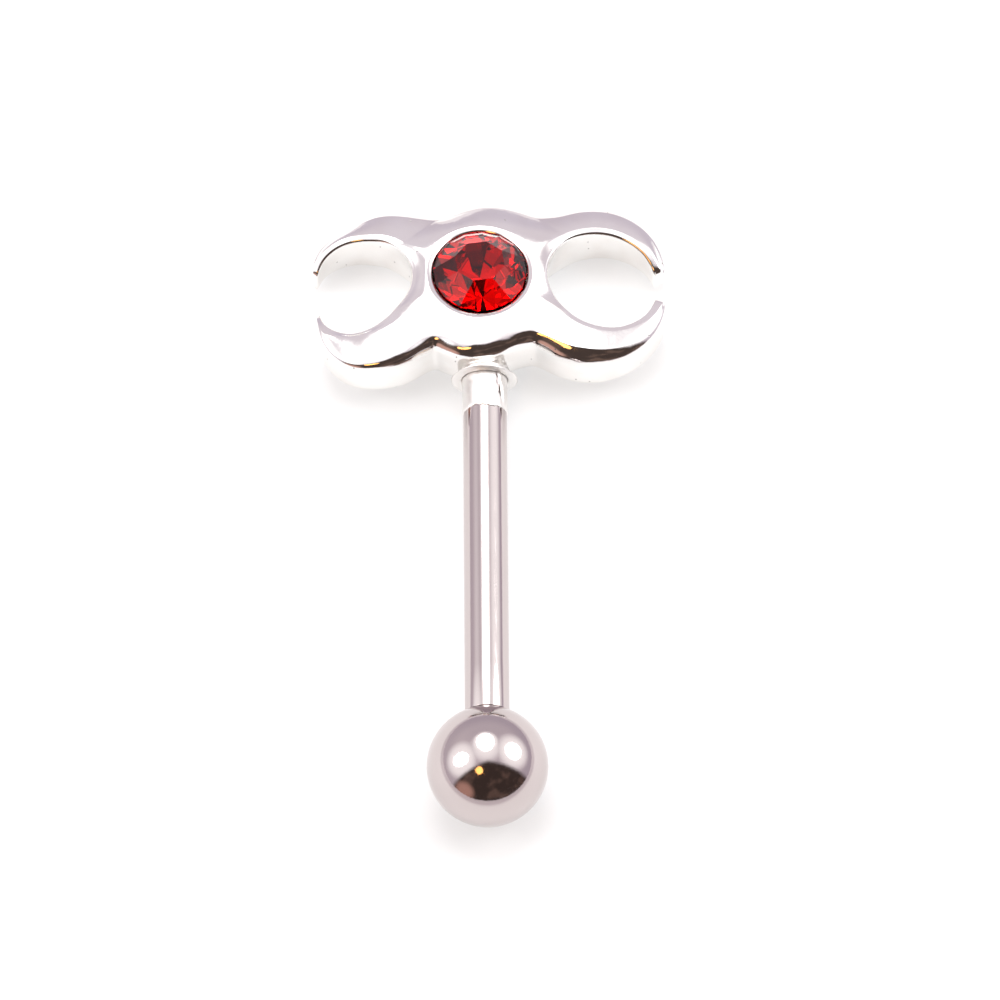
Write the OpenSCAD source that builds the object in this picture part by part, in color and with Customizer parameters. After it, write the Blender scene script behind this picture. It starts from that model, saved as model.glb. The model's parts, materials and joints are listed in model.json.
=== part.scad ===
// Eyebrow barbell: a silver-plated charm of three moons with a red stone, brazed
// to a straight steel bar that a screwed-on ball closes. It lies on its ball and
// on the far edge of its charm.
// X runs to the right across the charm, Y runs along the bar from the ball to
// the charm, Z is up. The origin is on the surface it lies on, under its middle.

/* [Bar] */
// Diameter of the steel bar
bar_d = 1.2; // [1:0.05:1.3]
// Bare length of bar between the charm's boss and the ball
bar_length = 10; // [8:0.1:12]
// Length of the bar's threaded end, which sits in the ball
thread_length = 1.9; // [1.4:0.1:1.9]
// Diameter of the core of the threaded end
thread_d = 0.88; // [0.8:0.02:0.88]

/* [Ball] */
// Diameter of the ball
ball_d = 3.25; // [2.9:0.05:3.4]
// Gap between the ball and the bar, round the thread and at the bar's shoulder
ball_gap = 0.03; // [0.02:0.01:0.04]

/* [Disc] */
// Height of the disc's rim above its flat back, at the stone
disc_crown = 1.58; // [1.5:0.02:1.7]
// Height that the face swells by just outside the stone
bezel_swell = 0.05; // [0:0.01:0.08]
// How far the near edge bows out between its two valleys
near_bow = 0.6; // [0.4:0.05:0.7]
// How far the far edge bows out between its two valleys
far_bow = 0.46; // [0.3:0.02:0.5]
// Radius of the rounding at the edge of each moon's opening
opening_rounding = 0.1; // [0.06:0.01:0.14]
// How far the openings' walls on the disc's side spread towards the back
opening_spread = 0.3; // [0:0.05:0.35]

/* [Stone] */
// Diameter of the stone at its girdle
stone_d = 2.56; // [2.4:0.02:2.6]
// Diameter of the stone's table
table_d = 1.24; // [1:0.02:1.5]
// Height of the stone's table above the charm's face
stone_rise = 0.5; // [0.3:0.02:0.6]
// Depth of the stone's point below its girdle
pavilion_depth = 1.1; // [0.9:0.05:1.12]
// Gap between the stone and its seat
seat_gap = 0.02; // [0.02:0.01:0.04]

/* [Boss] */
// Diameter of the boss that holds the bar
boss_d = 1.8; // [1.6:0.05:1.9]
// Length of boss that stands out of the disc's near edge
boss_out = 0.22; // [0.18:0.02:0.5]
// Height of the bar's axis above the charm's back, at the near edge
axis_height = 0.4; // [0.3:0.05:0.5]
// Angle between the bar and the charm's back
charm_pitch = 4.5; // [3:0.5:7]

/* [Hidden] */
$fn = 64;

// Columns of the moons' tables, one row for each section across a horn
// ANGLE is measured round the opening from straight outwards, in degrees. RIM and
// EDGE are the horn's inner and outer edges, from the opening's middle. CREST is
// the height of its ridge. SHOULDER is the radius of its outer rounding.
ANGLE = 0;
RIM = 1;
EDGE = 2;
CREST = 3;
SHOULDER = 4;
far_right = [
    [ 23, 1.47, 1.90, 0.86, 0.14],
    [ 41, 1.48, 2.10, 1.08, 0.20],
    [ 60, 1.46, 2.30, 1.22, 0.26],
    [ 80, 1.47, 2.44, 1.33, 0.30],
    [103, 1.49, 2.51, 1.43, 0.32],
    [118, 1.52, 2.54, 1.49, 0.32],
    [129, 1.54, 2.74, 1.53, 0.32]];
near_right = [
    [ 17, 1.50, 1.82, 0.88, 0.16],
    [ 41, 1.53, 1.95, 1.06, 0.28],
    [ 61, 1.54, 2.17, 1.20, 0.44],
    [ 79, 1.54, 2.42, 1.31, 0.58],
    [ 97, 1.52, 2.61, 1.41, 0.60],
    [118, 1.50, 2.69, 1.50, 0.52],
    [135, 1.48, 2.63, 1.57, 0.46]];
far_left = [
    [ 35, 1.36, 1.61, 0.88, 0.10],
    [ 49, 1.44, 1.83, 1.06, 0.16],
    [ 66, 1.48, 2.04, 1.22, 0.24],
    [ 85, 1.50, 2.25, 1.33, 0.30],
    [102, 1.51, 2.58, 1.43, 0.32],
    [118, 1.57, 2.80, 1.49, 0.32],
    [133, 1.58, 3.03, 1.53, 0.32]];
near_left = [
    [ 29, 1.24, 1.39, 0.82, 0.10],
    [ 46, 1.36, 1.66, 1.00, 0.14],
    [ 66, 1.40, 2.13, 1.15, 0.20],
    [ 86, 1.39, 2.48, 1.28, 0.22],
    [105, 1.34, 2.63, 1.41, 0.28],
    [121, 1.29, 2.73, 1.50, 0.38],
    [140, 1.25, 2.68, 1.57, 0.46]];

// Middles of the two openings, from the stone's middle
right_opening = [3.36, -0.11];
left_opening = [-3.31, -0.30];

// Side, reach, table and opening of each horn, then the place of its ridge across
// it, the drop from its ridge to its outer rounding and the depth to which the
// valley beside it is filled, anticlockwise from the far right
SIDE = 0;
REACH = 1;
TABLE = 2;
OPENING = 3;
RIDGE = 4;
DROP = 5;
FILL = 6;
horns = [
    [1, 1, far_right, right_opening, 0.2, 0.15, 0.04],
    [-1, 1, far_left, left_opening, 0.2, 0.15, 0.06],
    [-1, -1, near_left, left_opening, 0.36, 0.07, 0.16],
    [1, -1, near_right, right_opening, 0.32, 0.05, 0.16]];

// Where the stone's middle lies to the left of the bar's axis
stone_shift = 0.11;
// Sections along a horn, steps round each rounding, and columns along each
// stretch of the disc's rim
horn_steps = 12;
round_steps = 3;
bow_steps = 10;
mouth_steps = 8;
// Size of the slope at the foot of the outer walls
foot = 0.08;
// Share of a horn's tip that its last section keeps, and how far past it lies
tip_shrink = 0.55;
tip_length = 0.09;
// Drop from a horn's ridge to its opening's edge, and the rise from there to the
// face between an opening and the stone
lip_drop = 0.03;
mouth_rise = 0.06;
// How far along the outer edges the valleys between the moons are filled
valley_reach = 0.7;
// How far the near edge's bow leans to the left, as a power: 1 is not at all
near_lean = 0.75;
// Width of the band that swells up round the stone, and of its flat inner lip
bezel_width = 0.16;
seat_lip = 0.04;
// Radius of the flat middle of the charm's back
back_r = 1.2;
// Length of boss inside the disc, and of the ball's bore past the thread's end
boss_in = 0.6;
bore_end_gap = 0.1;
// Depth of the girdle's top edge below the charm's face, and its height
girdle_sink = 0.04;
girdle_height = 0.08;

stone_r = stone_d / 2;
seat_r = stone_r + seat_gap;

ball_r = ball_d / 2;
bar_r = bar_d / 2;
thread_r = thread_d / 2;
bore_r = thread_r + ball_gap;
boss_r = boss_d / 2;
// Distance of the ball's flat seat from its middle: the seat is as wide as the bar
ball_seat = sqrt(ball_r * ball_r - bar_r * bar_r);
// Places along the bar, measured towards the ball from the boss's end face: the
// ball's middle, the end of the thread and the floor of the ball's bore
ball_at = bar_length + ball_gap + ball_seat;
thread_end_at = bar_length + thread_length;
bore_end_at = thread_end_at + bore_end_gap;

function mix(a, b, t) = a + (b - a) * t;
function unit(p) = p / norm(p);
function polar(r, a) = [r * cos(a), r * sin(a)];
function flip(list) = [for (i = [len(list) - 1:-1:0]) list[i]];
// A smooth curve through four values, between the middle two
function curve(a, b, c, d, t) =
    b + t / 2 * (c - a + t * (2 * a - 5 * b + 4 * c - d + t * (3 * (b - c) + d - a)));
// A table's row at any place along it, from 0 at the tip to 1 at the disc
function row_at(table, along) =
    let (
        last = len(table) - 1,
        place = min(along, 0.9999) * last,
        i = floor(place))
    curve(
        table[max(i - 1, 0)], table[i],
        table[i + 1], table[min(i + 2, last)], place - i);

// Plain angle of a horn's own angle
function turned(horn, angle) = horn[SIDE] > 0
    ? horn[REACH] * angle
    : 180 - horn[REACH] * angle;

// Points of a rounding that leaves the face at p, and ends at the wall a radius
// further along d and a radius lower
function rounding(p, height, d, r) = [
    for (i = [0:round_steps])
        let (a = 90 * i / round_steps)
        [each (p + d * r * sin(a)), height - r * (1 - cos(a))]];

// Points across a horn: opening's rounding, ridge, outer rounding, outer wall,
// back and the opening's wall
function horn_section(horn, along) =
    let (
        row = row_at(horn[TABLE], along),
        angle = turned(horn, row[ANGLE]),
        out = polar(1, angle),
        rim = horn[OPENING] + out * row[RIM],
        edge = filled(horn, horn[OPENING] + out * row[EDGE]),
        width = row[EDGE] - row[RIM],
        lip = min(opening_rounding, width * 0.3),
        shoulder = min(row[SHOULDER], width * 0.55),
        drop = horn[DROP] * min(width / 0.8, 1),
        into = unit(mix(-out, valley_inward(horn), pow(max(along * 4 - 3, 0), 2))),
        inner = rim + out * lip,
        outer = edge + into * shoulder)
    concat(
        flip(rounding(inner, row[CREST] - lip_drop, -out, lip)),
        [[each mix(inner, outer, horn[RIDGE]), row[CREST]]],
        rounding(outer, row[CREST] - drop, -into, shoulder),
        [[each edge, foot],
         [each (edge + into * foot), 0],
         [each mix(rim, edge, 0.5), 0],
         [each rim, 0],
         [each rim, foot]]);
section_size = 2 * round_steps + 8;
ridge_place = round_steps + 1;
outer_place = round_steps + 2;
back_place = 2 * round_steps + 5;

// Valley between the disc and a horn, the way into the metal there, and the
// height of the horn's ridge
function valley(horn) =
    horn[OPENING] + polar(row_at(horn[TABLE], 1)[EDGE], root_angle(horn));
function valley_inward(horn) =
    let (p = valley(horn))
    unit(unit(horn[OPENING] - p) + unit(-p));
// A point of the outer edge, moved out where the valley beside it is filled
function filled(horn, p) =
    let (near = max(1 - norm(p - valley(horn)) / valley_reach, 0))
    p - valley_inward(horn) * horn[FILL] * near * near;
function root_angle(horn) = turned(horn, row_at(horn[TABLE], 1)[ANGLE]);
function root_rim(horn) = row_at(horn[TABLE], 1)[RIM];
function root_crest(horn) = row_at(horn[TABLE], 1)[CREST];
function root_shoulder(horn) = row_at(horn[TABLE], 1)[SHOULDER];

// Column of the disc's edge, at a place along the bow between two valleys
function bow_edge(from, to, bow, place) =
    mix(valley(from), valley(to), place)
        + [0, bow * sin(180 * pow(place, bow < 0 ? near_lean : 1))];
function bow_column(from, to, bow, place) =
    let (
        edge = filled(to, filled(from, bow_edge(from, to, bow, place))),
        between = mix(valley_inward(from), valley_inward(to), place),
        into = unit(mix(between, unit(-edge), sin(180 * place))),
        shoulder = mix(root_shoulder(from), root_shoulder(to), place),
        height = mix(root_crest(from) - from[DROP], root_crest(to) - to[DROP], place))
    concat(
        rounding(edge + into * shoulder, height, -into, shoulder),
        [[each edge, foot], [each (edge + into * foot), 0]]);

// Column of an opening's wall on the disc's side, between its two horns
function mouth_column(from, to, place) =
    let (
        sweep = (root_angle(to) - root_angle(from) + 540) % 360 - 180,
        angle = root_angle(from) + sweep * place,
        out = polar(1, angle),
        ease = (1 - cos(180 * place)) / 2,
        rim = from[OPENING] + out * mix(root_rim(from), root_rim(to), ease),
        spread = out * opening_spread * sin(180 * place),
        crest = mix(root_crest(from), root_crest(to), place) + mouth_rise * sin(180 * place))
    concat(
        rounding(rim + out * opening_rounding, crest - lip_drop, -out, opening_rounding),
        [[each (rim + spread * 0.9), foot], [each (rim + spread), 0]]);

// A horn's root section, cut into the columns that it shares with the disc.
// The one on its ridge holds only a point of the face and one of the back.
function edge_side(horn) =
    let (s = horn_section(horn, 1))
    [for (i = [outer_place:outer_place + round_steps + 2]) s[i]];
function opening_side(horn) =
    let (s = horn_section(horn, 1))
    concat([for (i = [round_steps:-1:0]) s[i]], [s[section_size - 1], s[section_size - 2]]);
function ridge_side(horn) =
    let (s = horn_section(horn, 1))
    [s[ridge_place], s[back_place]];
function bow_columns(from, to, bow) = [
    for (i = [1:bow_steps - 1]) bow_column(from, to, bow, i / bow_steps)];
function mouth_columns(from, to) = [
    for (i = [1:mouth_steps - 1]) mouth_column(from, to, i / mouth_steps)];
columns = concat(
    [edge_side(horns[0])], bow_columns(horns[0], horns[1], far_bow), [edge_side(horns[1])],
    [ridge_side(horns[1])],
    [opening_side(horns[1])], mouth_columns(horns[1], horns[2]), [opening_side(horns[2])],
    [ridge_side(horns[2])],
    [edge_side(horns[2])], bow_columns(horns[2], horns[3], -near_bow), [edge_side(horns[3])],
    [ridge_side(horns[3])],
    [opening_side(horns[3])], mouth_columns(horns[3], horns[0]), [opening_side(horns[0])],
    [ridge_side(horns[0])]);
column_count = len(columns);
column_rows = round_steps + 3;

// Face of the disc along one column, from the stone's rim to the face's edge
function face_points(top) =
    let (
        out = unit([top[0], top[1]]),
        swell = out * (seat_r + bezel_width),
        edge = [top[0], top[1]],
        crown = disc_crown + bezel_swell)
    [
        [each (out * (seat_r + seat_lip)), disc_crown],
        [each (out * (seat_r + bezel_width * 0.6)), crown - bezel_swell / 4],
        [each swell, crown],
        [each mix(swell, edge, 0.33), mix(crown, top[2], 0.26)],
        [each mix(swell, edge, 0.67), mix(crown, top[2], 0.62)]];
face_rows = 5;

// A horn's own sections from the one next to its root out to its tip, then a
// smaller one past the tip and the tip's end
function horn_points(horn) =
    let (
        tip = horn_section(horn, 0),
        end = middle_of(tip),
        before = middle_of(horn_section(horn, 0.06)),
        ahead = unit([end[0] - before[0], end[1] - before[1], 0]) * tip_length)
    concat(
        [for (i = [horn_steps - 2:-1:0]) each horn_section(horn, i / (horn_steps - 1))],
        [for (p = tip) mix(end, p, tip_shrink) + ahead],
        [end + ahead]);
function middle_of(s) = [for (k = [0:2]) let (v = [for (p = s) p[k]]) (min(v) + max(v)) / 2];
horn_size = horn_steps * section_size + 1;

// All points of the charm: the disc's face, its columns, its back, the middles
// of its face and back, and the horns
side_start = column_count * face_rows;
side_starts = [
    for (i = 0, at = side_start; i < column_count; at = at + len(columns[i]), i = i + 1) at];
side_end = side_starts[column_count - 1] + len(columns[column_count - 1]);
back_start = side_end;
face_middle = back_start + column_count;
back_middle = face_middle + 1;
horn_start = back_middle + 1;
charm_points = concat(
    [for (c = columns) each face_points(c[0])],
    [for (c = columns) each c],
    [for (c = columns)
        let (p = c[len(c) - 1])
        [each (unit([p[0], p[1]]) * back_r), 0]],
    [[0, 0, disc_crown], [0, 0, 0]],
    [for (h = horns) each horn_points(h)]);

function face_at(c, r) = (c % column_count) * face_rows + r;
function side_at(c, r) = side_starts[c % column_count] + r;
function foot_at(c) = side_at(c, len(columns[c % column_count]) - 1);
function back_at(c) = back_start + c % column_count;
function is_ridge(c) = len(columns[c % column_count]) == 2;
function quad(a, b, c, d) = [[a, b, c], [a, c, d]];
function loft(a, b) = [
    for (i = [0:len(a) - 1])
        let (j = (i + 1) % len(a))
        each quad(a[i], a[j], b[j], b[i])];
function cap(a, tip) = [for (i = [0:len(a) - 1]) [a[i], a[(i + 1) % len(a)], tip]];

// The root section's points among the disc's columns, in a section's own order
function root_ring(ridge, edge, opening) = concat(
    [for (r = [round_steps:-1:0]) side_at(opening, r)],
    [side_at(ridge, 0)],
    [for (r = [0:column_rows - 1]) side_at(edge, r)],
    [side_at(ridge, 1), foot_at(opening), side_at(opening, column_rows - 2)]);
function horn_ring(number, s) = [
    for (i = [0:section_size - 1]) horn_start + number * horn_size + s * section_size + i];
// On two of the horns the section's order runs the other way round
function horn_faces(number, ridge) =
    let (
        edge_first = number % 2 == 1,
        root = edge_first
            ? root_ring(ridge, ridge - 1, ridge + 1)
            : root_ring(ridge, ridge + 1, ridge - 1),
        rings = [root, for (s = [0:horn_steps - 1]) horn_ring(number, s)],
        tip = horn_start + (number + 1) * horn_size - 1,
        turned_rings = edge_first ? [for (r = rings) flip(r)] : rings)
    concat(
        [for (s = [0:horn_steps - 1]) each loft(turned_rings[s], turned_rings[s + 1])],
        cap(turned_rings[horn_steps], tip));
ridges = [for (c = [0:column_count - 1]) if (is_ridge(c)) c];

charm_faces = concat(
    [for (c = [0:column_count - 1]) each concat(
        [[face_middle, face_at(c + 1, 0), face_at(c, 0)]],
        [for (r = [0:face_rows - 2])
            each quad(face_at(c, r), face_at(c + 1, r), face_at(c + 1, r + 1), face_at(c, r + 1))],
        quad(face_at(c, face_rows - 1), face_at(c + 1, face_rows - 1),
            side_at(c + 1, 0), side_at(c, 0)))],
    [for (c = [0:column_count - 1])
        if (!is_ridge(c) && !is_ridge(c + 1))
            for (r = [0:column_rows - 2])
                each quad(side_at(c, r), side_at(c + 1, r), side_at(c + 1, r + 1), side_at(c, r + 1))],
    [for (c = [0:column_count - 1]) each concat(
        quad(foot_at(c), foot_at(c + 1), back_at(c + 1), back_at(c)),
        [[back_middle, back_at(c), back_at(c + 1)]])],
    [for (k = [0:3]) each horn_faces((k + 1) % 4, ridges[k])]);

// Stone's facets, with the girdle's top edge at height 0: a table of eight
// sides, eight main and eight corner facets, and sixteen facets below
table_sides = 8;
girdle_sides = 16;
table_height = girdle_sink + stone_rise;
function stone_ring(r, height, sides) = [
    for (i = [0:sides - 1]) [each polar(r, 360 * (i + 0.5) / sides), height]];
stone_points = concat(
    stone_ring(table_d / 2, table_height, table_sides),
    stone_ring(stone_r, 0, girdle_sides),
    stone_ring(stone_r, -girdle_height, girdle_sides),
    [[0, 0, -girdle_height - pavilion_depth]]);
function table_at(i) = i % table_sides;
function girdle_at(i) = table_sides + i % girdle_sides;
function pavilion_at(i) = table_sides + girdle_sides + i % girdle_sides;
culet = table_sides + 2 * girdle_sides;
stone_faces = concat(
    [[for (i = [table_sides - 1:-1:0]) i]],
    [for (i = [0:table_sides - 1]) each [
        [table_at(i), table_at(i + 1), girdle_at(2 * i + 2), girdle_at(2 * i + 1)],
        [table_at(i), girdle_at(2 * i + 1), girdle_at(2 * i)]]],
    [for (i = [0:girdle_sides - 1]) each [
        [girdle_at(i), girdle_at(i + 1), pavilion_at(i + 1), pavilion_at(i)],
        [pavilion_at(i), pavilion_at(i + 1), culet]]]);

// Edges of the disc in the charm's plane, and a place of that plane on the bar
near_edge = bow_edge(horns[2], horns[3], -near_bow, 0.5)[1];
far_edge = bow_edge(horns[0], horns[1], far_bow, 0.5)[1];
function on_bar(p) =
    let (y = p[1] - near_edge, z = p[2] - axis_height)
    [
        p[0] - stone_shift,
        boss_out + y * cos(charm_pitch) + z * sin(charm_pitch),
        z * cos(charm_pitch) - y * sin(charm_pitch)];
// Tilt that lays the ball and the charm's far edge on one plane
far_point = on_bar([0, far_edge - foot, 0]);
far_reach = ball_at + far_point[1];
far_drop = -far_point[2];
rest_tilt = asin(ball_r / norm([far_reach, far_drop])) - atan(far_drop / far_reach);
rest_height = ball_r - ball_at * sin(rest_tilt);
// Middle of the whole barbell's width and length, as it lies
charm_x = [for (p = charm_points) on_bar(p)[0]];
charm_y = [for (p = charm_points)
    let (q = on_bar(p))
    q[1] * cos(rest_tilt) + q[2] * sin(rest_tilt)];
middle_x = (min(charm_x) + max(charm_x)) / 2;
middle_y = (max(charm_y) - ball_at * cos(rest_tilt) - ball_r) / 2;

// Lays a piece that is placed along the bar on the surface
module laid() {
    translate([-middle_x, -middle_y, rest_height])
        rotate([-rest_tilt, 0, 0])
            children();
}
// Turns an upright piece to point along the bar, from the ball to the charm
module along_bar(y) {
    translate([0, y, 0])
        rotate([-90, 0, 0])
            children();
}
// Puts a piece that is placed in the charm's plane on the bar
module on_charm(height = 0) {
    translate([0, boss_out, 0])
        rotate([-charm_pitch, 0, 0])
            translate([-stone_shift, -near_edge, height - axis_height])
                children();
}

module seat_cut() {
    on_charm(disc_crown - girdle_sink - girdle_height) {
        cylinder(r = seat_r, h = stone_rise);
        translate([0, 0, -pavilion_depth - seat_gap])
            cylinder(r1 = 4 * seat_gap, r2 = seat_r, h = pavilion_depth + seat_gap);
    }
}

module charm_bar() {
    color("silver")
        laid()
            difference() {
                union() {
                    on_charm()
                        polyhedron(charm_points, charm_faces);
                    along_bar(0)
                        cylinder(r = boss_r, h = boss_out + boss_in);
                    along_bar(-bar_length)
                        cylinder(r = bar_r, h = bar_length + boss_out);
                    along_bar(-thread_end_at)
                        cylinder(r = thread_r, h = thread_length + boss_out);
                }
                seat_cut();
            }
}

module stone() {
    color("crimson")
        laid()
            on_charm(disc_crown - girdle_sink)
                polyhedron(stone_points, stone_faces);
}

module ball() {
    color("gainsboro")
        laid()
            along_bar(-ball_at)
                difference() {
                    sphere(r = ball_r);
                    translate([0, 0, ball_seat])
                        cylinder(r = ball_r, h = ball_r);
                    translate([0, 0, ball_at - bore_end_at])
                        cylinder(r = bore_r, h = ball_d);
                }
}

charm_bar();
stone();
ball();
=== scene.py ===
import json
from math import asin, cos, degrees, exp, pi, radians, sin, sqrt, tan

import bmesh
import bpy
import numpy as np
from mathutils import Matrix, Vector, noise


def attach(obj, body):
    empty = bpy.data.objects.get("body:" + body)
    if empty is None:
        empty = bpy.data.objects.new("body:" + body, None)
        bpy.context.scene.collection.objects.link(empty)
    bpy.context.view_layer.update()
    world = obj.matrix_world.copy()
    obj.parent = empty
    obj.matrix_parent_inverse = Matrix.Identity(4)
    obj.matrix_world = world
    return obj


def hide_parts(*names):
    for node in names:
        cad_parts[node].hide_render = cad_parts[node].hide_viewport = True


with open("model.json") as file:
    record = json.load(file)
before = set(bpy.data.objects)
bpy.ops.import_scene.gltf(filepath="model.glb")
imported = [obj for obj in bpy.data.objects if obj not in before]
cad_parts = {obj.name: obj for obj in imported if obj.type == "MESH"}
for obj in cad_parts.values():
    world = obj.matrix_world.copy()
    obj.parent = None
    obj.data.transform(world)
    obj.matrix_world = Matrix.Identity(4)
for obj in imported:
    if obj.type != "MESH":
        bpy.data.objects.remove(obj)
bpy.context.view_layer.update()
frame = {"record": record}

MM = 0.001
BODY = "barbell"
BALL_BODY = "ball_end"

# Sizes of the barbell, in millimetres
BAR_R = 0.6
BAR_EDGE = 0.012
THREAD_CREST = 0.57
THREAD_DEPTH = 0.13
THREAD_PITCH = 0.25
THREAD_LENGTH = 1.9
THREAD_GAP = 0.03
THREAD_RUN_OUT = 0.16
# The plain length past the thread, at the bar's end and at the bore's floor
THREAD_STOP = 0.1
# The flat on the thread's crest and in its groove, as a share of the pitch
THREAD_FLAT = 0.06
BALL_R = 1.625
BORE_ROOT = THREAD_CREST + THREAD_GAP
BORE_END_GAP = 0.1
BORE_MOUTH = 0.06
BORE_SOFT = 0.02
BOSS_R = 0.9
BOSS_OUT = 0.22
AXIS_HEIGHT = 0.4
CHARM_PITCH = radians(4.5)
STONE_SHIFT = 0.11

# Sizes of the charm, in millimetres
DISC_CROWN = 1.58
BEZEL_SWELL = 0.05
BEZEL_WIDTH = 0.16
SEAT_R = 1.30
NEAR_BOW = 0.6
FAR_BOW = 0.46
NEAR_LEAN = 0.75
# Rounding of each opening's edge on the disc's side, the rise from the horns' roots
# to it, and the power of the face's fall to it
LEFT_MOUTH = (0.14, -0.02, 1.7)
RIGHT_MOUTH = (0.1, 0.1, 2.6)
# The powers of the face's fall to the disc's near and far edges
NEAR_BEND = 2.6
FAR_BEND = 1.4
# How far an opening's wall spreads downwards, and the share of it above the foot
MOUTH_SPREAD = 0.3
SPREAD_SHARE = 0.9
VALLEY_REACH = 0.7
FOOT = 0.08
TIP_LENGTH = 0.16
BACK_R = 1.2
# The most of a horn's width that its lip, its rim and its rounding take
LIP_SHARE = 0.3
RIM_SHARE = 0.7
SHOULDER_SHARE = 0.6
# The least width of the rim's flat, and the widths at which the lip and the face
# fall in full
RIM_WIDTH = 0.09
FULL_LIP = 1
FULL_FACE = 0.55
# How fast the rounding along the disc's edge turns to face straight outwards
FAN = 2.2

# Sizes of the stone, in millimetres
STONE_R = 1.285
TABLE_R = 0.70
STONE_RISE = 0.46
GIRDLE_SINK = 0.04
GIRDLE_HEIGHT = 0.05
PAVILION_DEPTH = 1.1
# The ring where the lower facets meet, as shares of the radius and of the depth
BREAK_R = 0.6
BREAK_DEPTH = 0.45
# The stone stands a little proud and askew, and its table was ground askew too
STONE_PROUD = 0.075
STONE_TILT = radians(-1)
STONE_TURN = radians(8)
TABLE_SLOPE = 0.08

# The four horns' tables: angle round the opening from straight outwards, inner
# edge, outer edge, height of the ridge, radius of the outer rounding
FAR_RIGHT = [
    (23, 1.47, 1.90, 0.86, 0.14),
    (41, 1.48, 2.10, 1.08, 0.20),
    (60, 1.46, 2.30, 1.22, 0.26),
    (80, 1.47, 2.44, 1.33, 0.30),
    (103, 1.49, 2.51, 1.43, 0.32),
    (118, 1.52, 2.54, 1.49, 0.32),
    (129, 1.54, 2.74, 1.53, 0.32)]
NEAR_RIGHT = [
    (20, 1.50, 1.86, 1.09, 0.16),
    (42.5, 1.54, 2.10, 1.17, 0.34),
    (61.5, 1.54, 2.29, 1.235, 0.54),
    (79, 1.54, 2.46, 1.31, 0.68),
    (97, 1.52, 2.61, 1.41, 0.70),
    (118, 1.50, 2.69, 1.50, 0.60),
    (135, 1.48, 2.63, 1.57, 0.50)]
FAR_LEFT = [
    (35, 1.36, 1.61, 0.88, 0.10),
    (49, 1.44, 1.83, 1.06, 0.16),
    (66, 1.48, 2.04, 1.22, 0.24),
    (85, 1.50, 2.25, 1.33, 0.30),
    (102, 1.51, 2.58, 1.43, 0.32),
    (118, 1.57, 2.80, 1.49, 0.32),
    (133, 1.58, 3.03, 1.53, 0.32)]
NEAR_LEFT = [
    (31.5, 1.25, 1.41, 0.92, 0.08),
    (48, 1.39, 1.69, 1.10, 0.12),
    (67, 1.41, 2.13, 1.18, 0.18),
    (86, 1.39, 2.48, 1.28, 0.22),
    (105, 1.34, 2.63, 1.41, 0.28),
    (121, 1.29, 2.73, 1.50, 0.38),
    (140, 1.25, 2.68, 1.57, 0.46)]
RIGHT_OPENING = np.array([3.36, -0.11])
LEFT_OPENING = np.array([-3.31, -0.30])


def unit(p):
    return p / np.linalg.norm(p)


def mix(a, b, t):
    return a + (b - a) * t


def polar(angle, r=1.0):
    return r * np.array([cos(angle), sin(angle)])


def up(p, height):
    """A point of the plan raised to a height."""
    return np.array([p[0], p[1], height])


# Where things are

mount = frame["record"]["mounts"][0]
to_ball = Vector(mount["axis"]).normalized()
BAR_LENGTH = mount["dims"]["length_mm"]
along = -to_ball
right = Vector((1, 0, 0))
above = right.cross(along)
boss_face = Vector(mount["pos_m"]) - to_ball * BAR_LENGTH * MM / 2
# The bar's own place: X right, Y along the bar to the charm, Z up, millimetres
ON_BAR = Matrix.Translation(boss_face) @ Matrix((
    (right.x, along.x, above.x),
    (right.y, along.y, above.y),
    (right.z, along.z, above.z))).to_4x4() @ Matrix.Scale(MM, 4)
BALL_AT = BAR_LENGTH + THREAD_GAP + sqrt(BALL_R ** 2 - BAR_R ** 2)
BORE_END = BAR_LENGTH + THREAD_LENGTH + BORE_END_GAP
# The same, turned so that Z points along the bar to the ball, for turned pieces
TURNED = ON_BAR @ Matrix.Rotation(radians(90), 4, "X")


# The casting of three moons: points across a rounding, down a wall and over a face,
# all as shares of the way, and how many columns there are along each edge

STEPS = 5
WALLS = (0.12, 0.55)
RIDGE_PLACES = (0.0, 0.35, 0.7, 0.975)
FACE_PLACES = [*np.linspace(0, 1, 8)[1:-1], 0.95]
TIP_TURNS = (32, 60, 80)
HORN_STEPS = 18
BOW_STEPS = 16
MOUTH_STEPS = 12


def spline_row(table, place):
    """A table's row at any place along it, from 0 at the tip to 1 at the disc."""
    rows = np.array(table, float)
    at = min(place, 0.9999) * (len(rows) - 1)
    i = int(at)
    a, b = rows[max(i - 1, 0)], rows[i]
    c, d = rows[i + 1], rows[min(i + 2, len(rows) - 1)]
    t = at - i
    curve = 2 * a - 5 * b + 4 * c - d + t * (3 * (b - c) + d - a)
    return b + t / 2 * (c - a + t * curve)


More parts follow.
